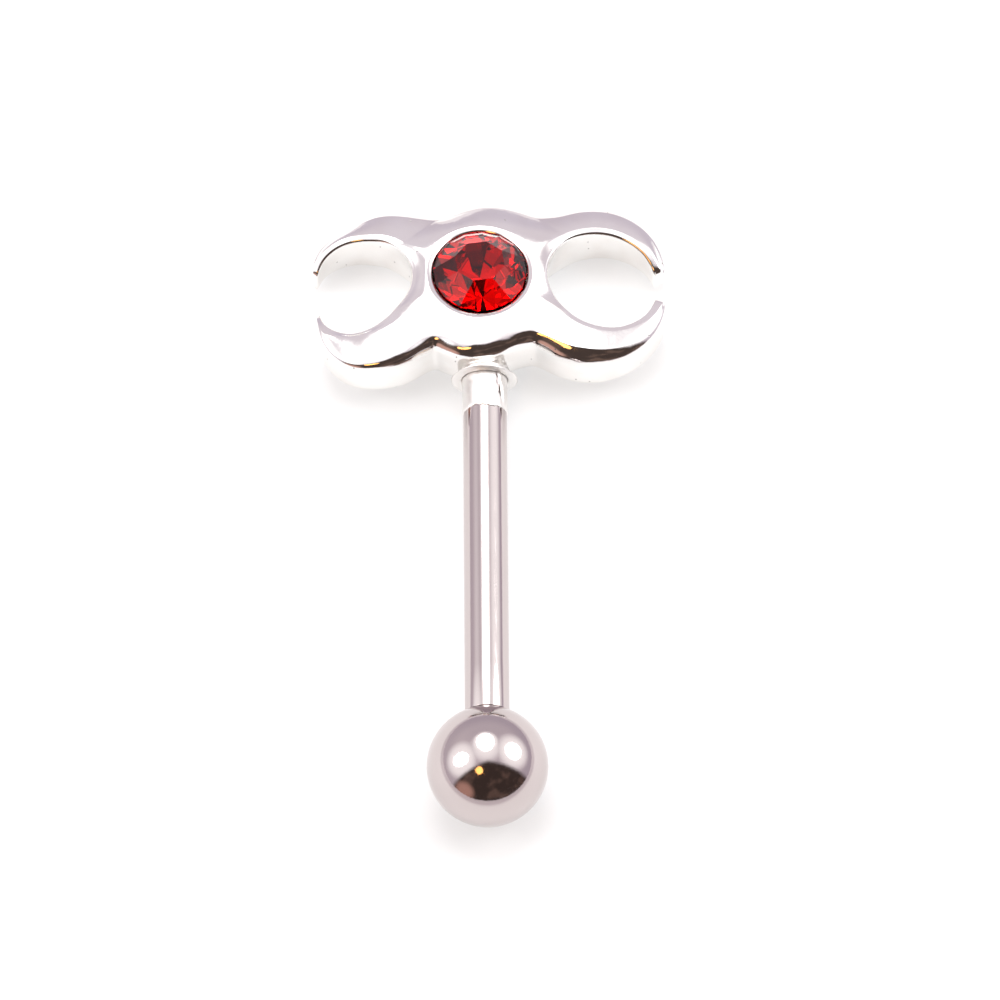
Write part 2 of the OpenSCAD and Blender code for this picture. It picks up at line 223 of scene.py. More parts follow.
class Horn:
    """One of the four horns that the two openings leave.

    side is 1 on the right and -1 on the left, and reach is 1 on the far side and -1
    on the near one. The rim's flat widens by ridge towards the tip and the root, and
    lip is the radius of its inner edge. The face falls by lip_drop inwards and by
    face_drop outwards, by the power of bend, and the outer rounding starts at a slope
    of start degrees. fill is how far the valley at the root is filled.
    """

    def __init__(self, side, reach, table, opening, ridge, lip, lip_drop, face_drop,
                 bend, start, fill):
        self.side, self.reach, self.table, self.opening = side, reach, table, opening
        self.ridge, self.lip, self.lip_drop = ridge, lip, lip_drop
        self.face_drop, self.bend, self.start, self.fill = face_drop, bend, radians(start), fill
        angle, self.rim, edge, self.crest, self.shoulder = spline_row(table, 1)
        self.angle = self.turned(angle)
        self.valley = opening + polar(self.angle, edge)
        self.inward = unit(unit(opening - self.valley) + unit(-self.valley))

    def turned(self, angle):
        a = radians(angle) * self.reach
        return a if self.side > 0 else pi - a

    def filled(self, p):
        """A point of the outer edge, moved out where the valley beside it is filled."""
        near = max(1 - np.linalg.norm(p - self.valley) / VALLEY_REACH, 0)
        return p - self.inward * self.fill * near ** 2

    def section(self, place):
        """Points across the horn: lip, ridge, shoulder, outer wall, back, inner wall."""
        angle, rim_r, edge_r, crest, shoulder = spline_row(self.table, place)
        out = polar(self.turned(angle))
        rim, edge = self.opening + out * rim_r, self.filled(self.opening + out * edge_r)
        width = edge_r - rim_r
        lip = min(self.lip, width * LIP_SHARE)
        shoulder = min(shoulder, width * SHOULDER_SHARE)
        lip_drop = self.lip_drop * min(width / FULL_LIP, 1)
        face_drop = self.face_drop * min(width / FULL_FACE, 1)
        # Over the last fifth the rounding turns towards the valley's own direction
        into = unit(mix(-out, self.inward, max(place * 5 - 4, 0)))
        ridge = min(RIM_WIDTH + self.ridge * (2 * place - 1) ** 2, (width - lip) * RIM_SHARE)
        inner, top = rim + out * lip, rim + out * (lip + ridge)
        outer = edge + into * shoulder * (1 - sin(self.start))
        face = [up(mix(inner, top, 0.6), crest - lip_drop * 0.2)]
        face += [up(mix(top, outer, t), crest - face_drop * t ** self.bend) for t in RIDGE_PLACES]
        back = [up(mix(rim, edge, t), 0) for t in np.linspace(1, 0, len(face) + 2)[1:-1]]
        return (rounding(inner, crest - lip_drop, -out, lip)[::-1] + face
                + shoulder_column(edge, into, crest - face_drop, shoulder, self.start)
                + back
                + wall_column(rim, crest - lip_drop - lip, out)[::-1])


def rounding(p, height, d, r):
    """A quarter round from the face at p to the wall a radius further along d."""
    turns = [pi / 2 * i / STEPS for i in range(STEPS + 1)]
    return [up(p + d * r * sin(a), height - r * (1 - cos(a))) for a in turns]


def wall_column(edge, top, into):
    """The wall below a rounding: two points, its foot and the back's edge."""
    walls = [up(edge, mix(top, FOOT, t)) for t in WALLS]
    return walls + [up(edge, FOOT), up(edge + into * FOOT, 0)]


def shoulder_column(edge, into, height, r, start):
    """The rounding from a sloping face to the outer wall, then the wall."""
    turns = [mix(start, pi / 2, i / STEPS) for i in range(STEPS + 1)]
    points = [up(edge + into * r * (1 - sin(a)), height - r * (cos(start) - cos(a)))
              for a in turns]
    return points + wall_column(edge, height - r * cos(start), into)


HORNS = [
    Horn(1, 1, FAR_RIGHT, RIGHT_OPENING, ridge=0.05, lip=0.1, lip_drop=0.03,
         face_drop=0.16, bend=1.4, start=20, fill=0.04),
    Horn(-1, 1, FAR_LEFT, LEFT_OPENING, ridge=0.05, lip=0.1, lip_drop=0.03,
         face_drop=0.16, bend=1.4, start=20, fill=0.1),
    Horn(-1, -1, NEAR_LEFT, LEFT_OPENING, ridge=0.3, lip=0.1, lip_drop=0.05,
         face_drop=0.07, bend=2.2, start=14, fill=0.2),
    Horn(1, -1, NEAR_RIGHT, RIGHT_OPENING, ridge=0.08, lip=0.07, lip_drop=0.012,
         face_drop=0.08, bend=1.3, start=30, fill=0.17)]


def bow_edge(a, b, bow, t):
    """A point of the disc's edge between two valleys, bowed outwards."""
    lean = NEAR_LEAN if bow < 0 else 1
    return mix(a.valley, b.valley, t) + np.array([0, bow * sin(pi * t ** lean)])


def bow_column(a, b, bow, t):
    """A column of the disc's near or far edge."""
    edge = b.filled(a.filled(bow_edge(a, b, bow, t)))
    into = unit(mix(mix(a.inward, b.inward, t), unit(-edge), min(FAN * sin(pi * t), 1)))
    height = mix(a.crest - a.face_drop, b.crest - b.face_drop, t)
    r, start = mix(a.shoulder, b.shoulder, t), mix(a.start, b.start, t)
    return shoulder_column(edge, into, height, r, start)


def mouth_column(a, b, t, lip, rise):
    """A column of an opening's wall on the disc's side."""
    sweep = (b.angle - a.angle + 3 * pi) % (2 * pi) - pi
    out = polar(a.angle + sweep * t)
    middle, slow = sin(pi * t), sin(pi * t) ** 2
    rim = a.opening + out * mix(a.rim, b.rim, (1 - cos(pi * t)) / 2)
    spread = out * MOUTH_SPREAD * middle
    round_r = mix(mix(a.lip, b.lip, t), lip, slow)
    crest = mix(a.crest - a.lip_drop, b.crest - b.lip_drop, t) + rise * slow
    top = crest - round_r
    walls = [up(rim + spread * SPREAD_SHARE * w, mix(top, FOOT, w)) for w in WALLS]
    return (rounding(rim + out * round_r, crest, -out, round_r)
            + walls + [up(rim + spread * SPREAD_SHARE, FOOT), up(rim + spread, 0)])


def charm_cage():
    """The casting's cage, as points and faces, in the charm's own plane."""
    lip, ridge = STEPS + 1, len(RIDGE_PLACES) + 1
    side = STEPS + 1 + len(WALLS) + 2
    points, columns, roots = [], [], {}

    def put(p):
        points.append(p)
        return len(points) - 1

    def root(i, edge_first):
        """A root section's points, cut into the columns that it shares with the disc."""
        s = [put(p) for p in HORNS[i].section(1)]
        roots[i] = s
        edge = s[lip + ridge:lip + ridge + side]
        opening = s[:lip][::-1] + s[lip + ridge + side + ridge:][::-1]
        ridges = [[s[lip + k], s[lip + ridge + side + ridge - 1 - k]] for k in range(ridge)]
        return [edge] + ridges[::-1] + [opening] if edge_first else [opening] + ridges + [edge]

    def bow(a, b, depth):
        return [[put(p) for p in bow_column(HORNS[a], HORNS[b], depth, i / BOW_STEPS)]
                for i in range(1, BOW_STEPS)]

    def mouth(a, b, shape):
        return [[put(p) for p in mouth_column(HORNS[a], HORNS[b], i / MOUTH_STEPS, *shape[:2])]
                for i in range(1, MOUTH_STEPS)]

    columns += bow(0, 1, FAR_BOW) + root(1, True)
    columns += mouth(1, 2, LEFT_MOUTH) + root(2, False)
    columns += bow(2, 3, -NEAR_BOW) + root(3, True)
    columns += mouth(3, 0, RIGHT_MOUTH) + root(0, False)
    count = len(columns)
    faces = []

    # The disc's face: rings from the seat's floor over the swell to each column
    crown = DISC_CROWN + BEZEL_SWELL
    floor = DISC_CROWN - GIRDLE_SINK - GIRDLE_HEIGHT
    seat = (
        (0.08, floor - PAVILION_DEPTH - 0.02),
        (SEAT_R * 0.5, floor - PAVILION_DEPTH * 0.5 - 0.02),
        (SEAT_R * 0.97, floor - 0.03),
        (SEAT_R, floor + 0.02),
        (SEAT_R, DISC_CROWN - 0.03),
        (SEAT_R + 0.02, DISC_CROWN),
        (SEAT_R + 0.07, DISC_CROWN + BEZEL_SWELL * 0.6),
        (SEAT_R + BEZEL_WIDTH, crown))
    rings = []
    for c in columns:
        top = points[c[0]]
        out = unit(top[:2])
        swell, edge = out * (SEAT_R + BEZEL_WIDTH), top[:2]
        ring = [up(out * r, height) for r, height in seat]
        mouth_bend = (LEFT_MOUTH if out[0] < 0 else RIGHT_MOUTH)[2]
        bend = mix(mouth_bend, NEAR_BEND if out[1] < 0 else FAR_BEND, out[1] ** 2)
        for t in FACE_PLACES:
            ring.append(up(mix(swell, edge, t), mix(crown, top[2], t ** bend)))
        rings.append([put(p) for p in ring] + [c[0]])
    floor_middle = put(up((0, 0), floor - PAVILION_DEPTH - 0.03))
    back_middle = put(np.zeros(3))
    backs = [put(up(unit(points[c[-1]][:2]) * BACK_R, 0)) for c in columns]
    for i in range(count):
        j = (i + 1) % count
        a, b = rings[i], rings[j]
        faces.append((floor_middle, a[0], b[0]))
        faces += [(a[r], a[r + 1], b[r + 1], b[r]) for r in range(len(a) - 1)]
        c, d = columns[i], columns[j]
        if len(c) == side and len(d) == side:
            faces += [(c[r], c[r + 1], d[r + 1], d[r]) for r in range(side - 1)]
        faces.append((c[-1], backs[i], backs[j], d[-1]))
        faces.append((backs[i], back_middle, backs[j]))

    # The horns, from each root section to a rounded tip
    for i, horn in enumerate(HORNS):
        rows = [horn.section(s / HORN_STEPS) for s in range(HORN_STEPS - 1, -1, -1)]
        tip = np.array(rows[-1])
        end = (tip.min(0) + tip.max(0)) / 2
        before = np.array(horn.section(0.05))
        ahead = unit(end - (before.min(0) + before.max(0)) / 2) * [1, 1, 0] * TIP_LENGTH
        for a in map(radians, TIP_TURNS):
            rows.append([mix(end, p, cos(a)) + ahead * sin(a) for p in tip])
        loops = [roots[i]] + [[put(p) for p in row] for row in rows]
        last = put(end + ahead)
        size = len(roots[i])
        for a, b in zip(loops, loops[1:]):
            for k in range(size):
                m = (k + 1) % size
                faces.append((a[k], b[k], b[m], a[m]) if i % 2 == 0 else (a[k], a[m], b[m], b[k]))
        for k in range(size):
            m = (k + 1) % size
            faces.append((loops[-1][k], last, loops[-1][m]) if i % 2 == 0
                         else (loops[-1][k], loops[-1][m], last))
    return np.array(points), faces


NEAR_EDGE = bow_edge(HORNS[2], HORNS[3], -NEAR_BOW, 0.5)[1]
# The charm's own place, with the stone's middle at X and Y 0 and the back at Z 0
ON_CHARM = (ON_BAR @ Matrix.Translation((0, BOSS_OUT, 0))
            @ Matrix.Rotation(-CHARM_PITCH, 4, "X")
            @ Matrix.Translation((-STONE_SHIFT, -NEAR_EDGE, -AXIS_HEIGHT)))


# Making objects

SEGMENTS = 64


def piece(name, points, faces, place, material, smooth=True):
    """A mesh object at the origin, with its place in its mesh."""
    mesh = bpy.data.meshes.new(name)
    mesh.from_pydata([tuple(p) for p in points], [], faces)
    mesh.transform(place)
    mesh.polygons.foreach_set("use_smooth", [smooth] * len(mesh.polygons))
    mesh.materials.append(material)
    obj = bpy.data.objects.new(name, mesh)
    bpy.context.scene.collection.objects.link(obj)
    return obj


def tidy(obj, merge=1e-7):
    """Merges doubles and points the faces outwards."""
    bm = bmesh.new()
    bm.from_mesh(obj.data)
    bmesh.ops.remove_doubles(bm, verts=bm.verts, dist=merge)
    bmesh.ops.recalc_face_normals(bm, faces=bm.faces)
    bm.to_mesh(obj.data)
    bm.free()
    obj.data.update()


def subdivide(obj, levels):
    subsurf = obj.modifiers.new("smooth", "SUBSURF")
    subsurf.levels = subsurf.render_levels = levels


def lathe(profile, close_start=False, close_end=False):
    """Points and faces of a profile of (radius, height) turned round Z."""
    points, faces = [], []
    for r, h in profile:
        for k in range(SEGMENTS):
            a = 2 * pi * k / SEGMENTS
            points.append((r * cos(a), r * sin(a), h))
    for i in range(len(profile) - 1):
        a, b = i * SEGMENTS, (i + 1) * SEGMENTS
        for k in range(SEGMENTS):
            m = (k + 1) % SEGMENTS
            faces.append((a + k, a + m, b + m, b + k))
    for wanted, row in ((close_start, 0), (close_end, len(profile) - 1)):
        if wanted:
            points.append((0, 0, profile[row][1]))
            a = row * SEGMENTS
            for k in range(SEGMENTS):
                faces.append((a + k, a + (k + 1) % SEGMENTS, len(points) - 1))
    return points, faces


def ring_faces(rings, size, closed=False):
    """Faces between rings of points, also from the last to the first where closed."""
    faces = []
    for i in range(rings if closed else rings - 1):
        j = (i + 1) % rings
        for k in range(size):
            m = (k + 1) % size
            faces.append((i * size + k, j * size + k, j * size + m, i * size + m))
    return faces


def arc(centre, r, start, end, steps):
    """Points of an arc in a profile, angles in degrees from outwards to along."""
    turns = [radians(mix(start, end, i / steps)) for i in range(steps + 1)]
    return [(centre[0] + r * cos(a), centre[1] + r * sin(a)) for a in turns]


# Materials

def colour(code):
    """Linear RGBA of an sRGB hex value."""
    parts = [int(code[i:i + 2], 16) / 255 for i in (1, 3, 5)]
    return tuple(c / 12.92 if c <= 0.04045 else ((c + 0.055) / 1.055) ** 2.4 for c in parts) + (1,)


def add(tree, kind, inputs=(), **settings):
    """Adds a node with its settings, and fills in or links its inputs, given by name
    or in their order. A node that is given stands for its first output."""
    n = tree.nodes.new(kind)
    for key, value in settings.items():
        setattr(n, key, value)
    for key, value in inputs.items() if isinstance(inputs, dict) else enumerate(inputs):
        if isinstance(value, bpy.types.Node):
            value = value.outputs[0]
        if isinstance(value, bpy.types.NodeSocket):
            tree.links.new(value, n.inputs[key])
        else:
            n.inputs[key].default_value = value
    return n


def per_mm(size):
    """A texture's scale for a pattern of that size in millimetres."""
    return 1 / (size * MM)


def surface(name, **sockets):
    """A new material, its tree and its shader, whose sockets get the values given."""
    material = bpy.data.materials.new(name)
    material.use_nodes = True
    tree = material.node_tree
    shader = tree.nodes["Principled BSDF"]
    for key, value in sockets.items():
        shader.inputs[key.replace("_", " ")].default_value = value
    return material, tree, shader


def silver_plate(name, roughness, wave, grain):
    """Brass cast, tumbled and plated with bright silver. The eye gets a near-white
    mirror that the hand finish leaves gently wavy, with soft grain and a few pits."""
    material, tree, shader = surface(name, Metallic=1.0, Roughness=roughness)
    place = add(tree, "ShaderNodeTexCoord").outputs["Object"]
    big, fine = [
        add(tree, "ShaderNodeTexNoise", {
            "Vector": place, "Scale": per_mm(size), "Detail": detail})
        for size, detail in ((1.1, 2.0), (0.09, 3.0))]
    pits = add(tree, "ShaderNodeTexVoronoi", {"Vector": place, "Scale": per_mm(0.42)})
    # 0 in the middle of a pit and 1 beside it
    clear = add(tree, "ShaderNodeMapRange", (pits.outputs["Distance"], 0.03, 0.075),
                interpolation_type="SMOOTHSTEP")
    patchy = add(tree, "ShaderNodeMapRange", (big, 0.3, 0.75), interpolation_type="SMOOTHSTEP")
    clean = add(tree, "ShaderNodeMix", {
        0: patchy, 6: colour("#faf9f7"), 7: colour("#f4f1ee")}, data_type="RGBA")
    pitted = add(tree, "ShaderNodeMix", {
        0: clear, 6: colour("#8d8480"), 7: clean.outputs[2]}, data_type="RGBA")
    tree.links.new(pitted.outputs[2], shader.inputs["Base Color"])
    rough = add(tree, "ShaderNodeMapRange", (fine, 0.35, 0.75, roughness, roughness + grain),
                interpolation_type="SMOOTHSTEP")
    tree.links.new(rough.outputs[0], shader.inputs["Roughness"])
    reliefs = [
        add(tree, "ShaderNodeBump", {
            "Height": height, "Strength": strength, "Distance": depth * MM})
        for height, strength, depth in (
            (big, wave, 0.05), (fine, wave, 0.004), (clear, 0.6, 0.01))]
    for under, over in zip(reliefs, reliefs[1:]):
        tree.links.new(under.outputs[0], over.inputs["Normal"])
    tree.links.new(reliefs[-1].outputs[0], shader.inputs["Normal"])
    return material


def polished_steel(name, stretch):
    """Surgical steel, ground and polished. The eye gets a grey, faintly warm mirror
    with very fine lines left by the grinding, along the bar or round the ball."""
    material, tree, shader = surface(
        name, Metallic=1.0, Roughness=0.07, Base_Color=colour("#cac0bf"))
    place = add(tree, "ShaderNodeTexCoord").outputs["Object"]
    drawn = add(tree, "ShaderNodeMapping", {"Vector": place, "Scale": stretch})
    lines = add(tree, "ShaderNodeTexNoise", {
        "Vector": drawn, "Scale": per_mm(0.05), "Detail": 3.0})
    rough = add(tree, "ShaderNodeMapRange", (lines, 0.3, 0.7, 0.05, 0.12),
                interpolation_type="SMOOTHSTEP")
    tree.links.new(rough.outputs[0], shader.inputs["Roughness"])
    relief = add(tree, "ShaderNodeBump", {
        "Height": lines, "Strength": 0.25, "Distance": 0.002 * MM})
    tree.links.new(relief.outputs[0], shader.inputs["Normal"])
    return material


def red_glass():
    """Pressed and polished lead glass, deep red. The eye gets sharp reflections off
    the facets over a dark, saturated body."""
    return surface("red_glass_polished", Roughness=0.0, IOR=1.53, Transmission_Weight=1.0,
                   Base_Color=colour("#e60e26"))[0]


def foil():
    """Silver foil fused behind the glass. The eye gets bright flashes of the lights,
    reddened once more on the way."""
    return surface("red_glass_foil", Metallic=1.0, Roughness=0.03,
                   Base_Color=colour("#ec2836"))[0]


SILVER = silver_plate("silver_plate_polished", roughness=0.07, wave=0.3, grain=0.06)
SLEEVE = silver_plate("silver_plate_matt", roughness=0.42, wave=0.6, grain=0.1)
SOLDER = silver_plate("silver_plate_over_solder", roughness=0.42, wave=0.25, grain=0.1)
STEEL_BAR = polished_steel("steel_drawn_bar", (1.0, 0.06, 1.0))
STEEL_BALL = polished_steel("steel_turned_ball", (1.0, 1.0, 1.0))
GLASS = red_glass()
FOIL = foil()


# Pieces

# Where the unevenness along X, Y and Z is taken from the noise
WAVE_SHIFTS = (5.9, 9.1, 3.8), (0.2, 6.6, 7.4), (3.7, 2.5, 4.1)
# The size and amount of the casting's unevenness, all over and along its near edge,
# and that edge's place, as distance and half width, above a height
WAVES = (1.3, 0.012)
NEAR_WAVES = (0.42, 0.03)
NEAR_PLACE = (-2.3, 0.5)
NEAR_ABOVE = 0.5


def wavy(points, size, amount):
    """Moves points by a smooth, fixed unevenness of that size and amount, in mm."""
    moved = []
    for p in points:
        n = [noise.noise(Vector(p) / size + Vector(shift)) for shift in WAVE_SHIFTS]
        moved.append(np.array(p) + np.array(n) * amount)
    return moved


def bump(value, centre, width):
    """1 at the centre, falling softly to 0 on both sides."""
    return exp(-((value - centre) / width) ** 2)


def make_charm():
    """The casting, gently uneven all over and rougher along its near edge."""
    points, faces = charm_cage()
    smooth = wavy(points, *WAVES)
    rough = wavy(points, *NEAR_WAVES)
    for i, p in enumerate(points):
        near = bump(p[1] + abs(p[0]) * 0.1, *NEAR_PLACE) * (p[2] > NEAR_ABOVE)
        smooth[i] = smooth[i] + (rough[i] - p) * near
    charm = piece("charm_casting", smooth, faces, ON_CHARM, SILVER)
    subdivide(charm, 2)
    return charm


def make_stone():
    """A round stone of eight main and eight corner facets over twenty-four below."""
    points, faces = [], []

    def ring(r, height, sides):
        start = len(points)
        for i in range(sides):
            points.append(up(polar(2 * pi * (i + 0.5) / sides, r), height))
        return start

    table = ring(TABLE_R, GIRDLE_SINK + STONE_RISE, 8)
    for p in points:
        p[2] -= p[1] * TABLE_SLOPE
    upper = ring(STONE_R, 0, 16)
    lower = ring(STONE_R, -GIRDLE_HEIGHT, 16)
    middle = ring(STONE_R * BREAK_R, -GIRDLE_HEIGHT - PAVILION_DEPTH * BREAK_DEPTH, 8)
    points.append(np.array([0, 0, -GIRDLE_HEIGHT - PAVILION_DEPTH]))
    culet = len(points) - 1
    eighths = [((i + 1) % 8, 2 * i, (2 * i + 1) % 16, (2 * i + 2) % 16) for i in range(8)]
    faces.append(tuple(range(table, table + 8)))
    for i, (j, a, b, c) in enumerate(eighths):
        faces.append((table + i, upper + b, upper + c, table + j))
        faces.append((table + i, upper + a, upper + b))
    for i in range(16):
        j = (i + 1) % 16
        faces.append((upper + i, lower + i, lower + j, upper + j))
    foiled = len(faces)
    for i, (j, a, b, c) in enumerate(eighths):
        faces.append((middle + i, middle + j, lower + c, lower + b))
        faces.append((middle + i, lower + b, lower + a))
        faces.append((middle + i, culet, middle + j))
    place = (ON_CHARM @ Matrix.Translation((0, 0, DISC_CROWN - GIRDLE_SINK + STONE_PROUD))
             @ Matrix.Rotation(STONE_TILT, 4, "X") @ Matrix.Rotation(STONE_TURN, 4, "Z"))
    stone = piece("stone_faceted", points, faces, place, GLASS, smooth=False)
    stone.data.materials.append(FOIL)
    for p in stone.data.polygons:
        p.material_index = 1 if p.index >= foiled else 0
    tidy(stone)
    return stone


def thread_tree():
    """A screw thread as a tube whose radius follows its winding ridge."""
    tree = bpy.data.node_groups.new("Screw thread", "GeometryNodeTree")
    face = tree.interface
    face.new_socket("Geometry", in_out="OUTPUT", socket_type="NodeSocketGeometry")
    for kind, names in (
            ("Float", ("Crest radius", "Depth", "Plain radius", "Pitch", "Length", "Run-out")),
            ("Int", ("Segments", "Rows")), ("Material", ("Material",))):
        for name in names:
            face.new_socket(name, in_out="INPUT", socket_type=f"NodeSocket{kind}")
    given = add(tree, "NodeGroupInput").outputs
    # A grid of one unit each way, wound up: X is the turn, and Y goes along
    columns, rows = [
        add(tree, "ShaderNodeMath", (given[name], 1.0), operation="ADD")
        for name in ("Segments", "Rows")]
    grid = add(tree, "GeometryNodeMeshGrid", (1.0, 1.0, columns, rows))
    flat = add(tree, "ShaderNodeSeparateXYZ", [add(tree, "GeometryNodeInputPosition")]).outputs
    turn, share = [
        add(tree, "ShaderNodeMath", (flat[axis], 0.5), operation="ADD") for axis in ("X", "Y")]
    height = add(tree, "ShaderNodeMath", (share, given["Length"]), operation="MULTIPLY")
    # 1 on the ridge and 0 in the groove, with a narrow flat on each
    turns = add(tree, "ShaderNodeMath", (height, given["Pitch"]), operation="DIVIDE")
    wound = add(tree, "ShaderNodeMath", (turns, turn), operation="SUBTRACT")
    wave = add(tree, "ShaderNodeMath", (wound, 0.5), operation="PINGPONG")
    ridge = add(tree, "ShaderNodeMapRange", (wave, THREAD_FLAT, 0.5 - THREAD_FLAT))
    # 0 at both ends and 1 past the run-out
    left = add(tree, "ShaderNodeMath", (given["Length"], height), operation="SUBTRACT")
    nearer = add(tree, "ShaderNodeMath", (height, left), operation="MINIMUM")
    run = add(tree, "ShaderNodeMath", (nearer, given["Run-out"]), operation="DIVIDE")
    fade = add(tree, "ShaderNodeMath", (run, 1.0), operation="MINIMUM")
    # The cut below the crest, less at the ends, where it comes to the plain radius
    below = add(tree, "ShaderNodeMath", (1.0, ridge), operation="SUBTRACT")
    cut = add(tree, "ShaderNodeMath", (below, given["Depth"]), operation="MULTIPLY")
    cut_to = add(tree, "ShaderNodeMath", (given["Crest radius"], cut), operation="SUBTRACT")
    step = add(tree, "ShaderNodeMath", (cut_to, given["Plain radius"]), operation="SUBTRACT")
    radius = add(tree, "ShaderNodeMath", (step, fade, given["Plain radius"]),
                 operation="MULTIPLY_ADD")
    angle = add(tree, "ShaderNodeMath", (turn, 2 * pi), operation="MULTIPLY")
    shares = [
        add(tree, "ShaderNodeMath", [angle], operation=kind) for kind in ("COSINE", "SINE")]
    x, y = [
        add(tree, "ShaderNodeMath", (radius, share), operation="MULTIPLY") for share in shares]
    place = add(tree, "ShaderNodeCombineXYZ", (x, y, height))
    moved = add(tree, "GeometryNodeSetPosition", {"Geometry": grid, "Position": place})
    merged = add(tree, "GeometryNodeMergeByDistance", {"Geometry": moved, "Distance": 1e-5})
    smooth = add(tree, "GeometryNodeSetShadeSmooth", {"Geometry": merged})
    real = add(tree, "GeometryNodeRealizeInstances", {"Geometry": smooth})
    done = add(tree, "GeometryNodeSetMaterial", {
        "Geometry": real, "Material": given["Material"]})
    add(tree, "NodeGroupOutput", [done])
    return tree


def grown(tree, values):
    """The points and faces that a geometry tree makes from the values of its inputs."""
    holder = bpy.data.objects.new("holder", bpy.data.meshes.new("holder"))
    bpy.context.scene.collection.objects.link(holder)
    modifier = holder.modifiers.new("grow", "NODES")
    modifier.node_group = tree
    for item in tree.interface.items_tree:
        if item.item_type == "SOCKET" and item.in_out == "INPUT":
            modifier[item.identifier] = values[item.name]
    holder.update_tag()
    bpy.context.view_layer.update()
    seen = holder.evaluated_get(bpy.context.evaluated_depsgraph_get())
    mesh = bpy.data.meshes.new_from_object(seen)
    holder.modifiers.remove(modifier)
    bpy.data.objects.remove(holder)
    points = [tuple(v.co) for v in mesh.vertices]
    faces = [tuple(p.vertices) for p in mesh.polygons]
    bpy.data.meshes.remove(mesh)
    return points, faces


def joined(*parts):
    """Several sets of points and faces as one."""
    points, faces = [], []
    for more, sides in parts:
        faces += [tuple(i + len(points) for i in f) for f in sides]
        points += list(more)
    return points, faces


def shifted(part, height):
    """Points and faces moved along Z."""
    return [(x, y, z + height) for x, y, z in part[0]], part[1]


THREAD = thread_tree()
ROWS_PER_TURN = 14


def thread(crest, plain, length, material):
    """A thread from a crest down to its groove, with a plain radius at both ends."""
    return grown(THREAD, {
        "Crest radius": crest, "Depth": THREAD_DEPTH, "Plain radius": plain,
        "Pitch": THREAD_PITCH, "Length": length, "Run-out": THREAD_RUN_OUT,
        "Segments": SEGMENTS, "Rows": round(length / THREAD_PITCH * ROWS_PER_TURN),
        "Material": material})


def make_bar():
    """The bar, from inside the boss to the end of its thread."""
    root = THREAD_CREST - THREAD_DEPTH
    body = [(BAR_R, -BOSS_OUT), (BAR_R, 0)]
    body += [(BAR_R, BAR_LENGTH * i / 8) for i in range(1, 8)]
    body += arc((BAR_R - BAR_EDGE, BAR_LENGTH - BAR_EDGE), BAR_EDGE, 0, 90, 4)
    body += [(root + 0.02, BAR_LENGTH), (root, BAR_LENGTH)]
    shank = lathe(body, close_start=True)
    screw = thread(THREAD_CREST, root, THREAD_LENGTH - THREAD_STOP, STEEL_BAR)
    screw = shifted(screw, BAR_LENGTH)
    end = BAR_LENGTH + THREAD_LENGTH
    tip = lathe([(root, end - THREAD_STOP), (root - 0.02, end - 0.06), (root - 0.1, end)],
                close_end=True)
    bar = piece("steel_bar", *joined(shank, screw, tip), TURNED, STEEL_BAR)
    tidy(bar, 2e-7)
    return bar


def make_ball():
    """The ball, with its flat seat and threaded bore."""
    seat = BAR_LENGTH + THREAD_GAP
    mouth = seat + BORE_MOUTH
    root = BORE_ROOT - THREAD_DEPTH
    to_seat = -90 + degrees(asin((BAR_R + BORE_SOFT) / BALL_R))
    shell = arc((0, BALL_AT), BALL_R, 90, to_seat, 48)[1:]
    shell += [(BAR_R - BORE_SOFT, seat), (BORE_ROOT - 0.01, seat),
              (BORE_ROOT - 0.03, seat + 0.01), (root, mouth)]
    outside = lathe(shell)
    pole = [(0, 0, BALL_AT + BALL_R)]
    fan = [(k, (k + 1) % SEGMENTS, SEGMENTS) for k in range(SEGMENTS)]
    cap = (outside[0][:SEGMENTS] + pole, fan)
    screw = shifted(thread(BORE_ROOT, root, BORE_END - THREAD_STOP - mouth, STEEL_BALL), mouth)
    floor = lathe([(root, BORE_END - THREAD_STOP), (root - 0.02, BORE_END - 0.03),
                   (root - 0.08, BORE_END)], close_end=True)
    ball = piece("steel_ball", *joined(outside, cap, screw, floor), TURNED, STEEL_BALL)
    tidy(ball, 2e-7)
    return ball


# The boss: its ring from the floor in front of the bar's end over its face to its rim,
# as depth and radius, and where the solder behind it ends
RING_DEPTH = 0.06
BOSS_RING = [(RING_DEPTH, 0.3), (RING_DEPTH, 0.6), (RING_DEPTH, 0.612), (0.02, 0.635),
             (0.0, 0.67), (0.0, 0.78), (0.02, 0.86), (RING_DEPTH, BOSS_R)]
BOSS_END = (0.5, 0.8)
# The solder behind the ring sinks by steps until it is thinner than this
NECK_R = 0.7
# A step's depth, the depth over which it grows to that, and the more that it sinks
# round an angle of so many degrees, with the half width
SINK = 0.1
SINK_OVER = 0.3
DEEPER = 0.4
DEEPER_ROUND = (45, 34)
# The swelling of the ring: its angle and half width in degrees, the same along the
# bar, and its height
SWELL_ROUND = (97, 10)
SWELL_ALONG = (0.2, 0.09)
SWELL_HEIGHT = 0.14
# The unevenness of the solder, as its amount and how fast it changes round the bar,
# and that of the swelling
SOLDER_WAVES = (0.008, 2.2)
SWELL_WAVES = (0.06, 7)


def next_radius(r, a, y):
    """The boss's radius at an angle and a depth, from that of the point before."""
    at = Vector((cos(a), 0, sin(a)))
    amount, pace = SOLDER_WAVES
    r += amount * noise.noise(at * pace + Vector((0, y * 2, 0)))
    sunk = min(max((y - RING_DEPTH) / SINK_OVER, 0), 1)
    r -= sunk * (SINK + DEEPER * bump(degrees(a), *DEEPER_ROUND))
    swell = bump(degrees(a), *SWELL_ROUND) * bump(y, *SWELL_ALONG)
    amount, pace = SWELL_WAVES
    uneven = amount * noise.noise(at * pace + Vector((4, y * 9, 0)))
    return r + swell * (SWELL_HEIGHT + uneven)


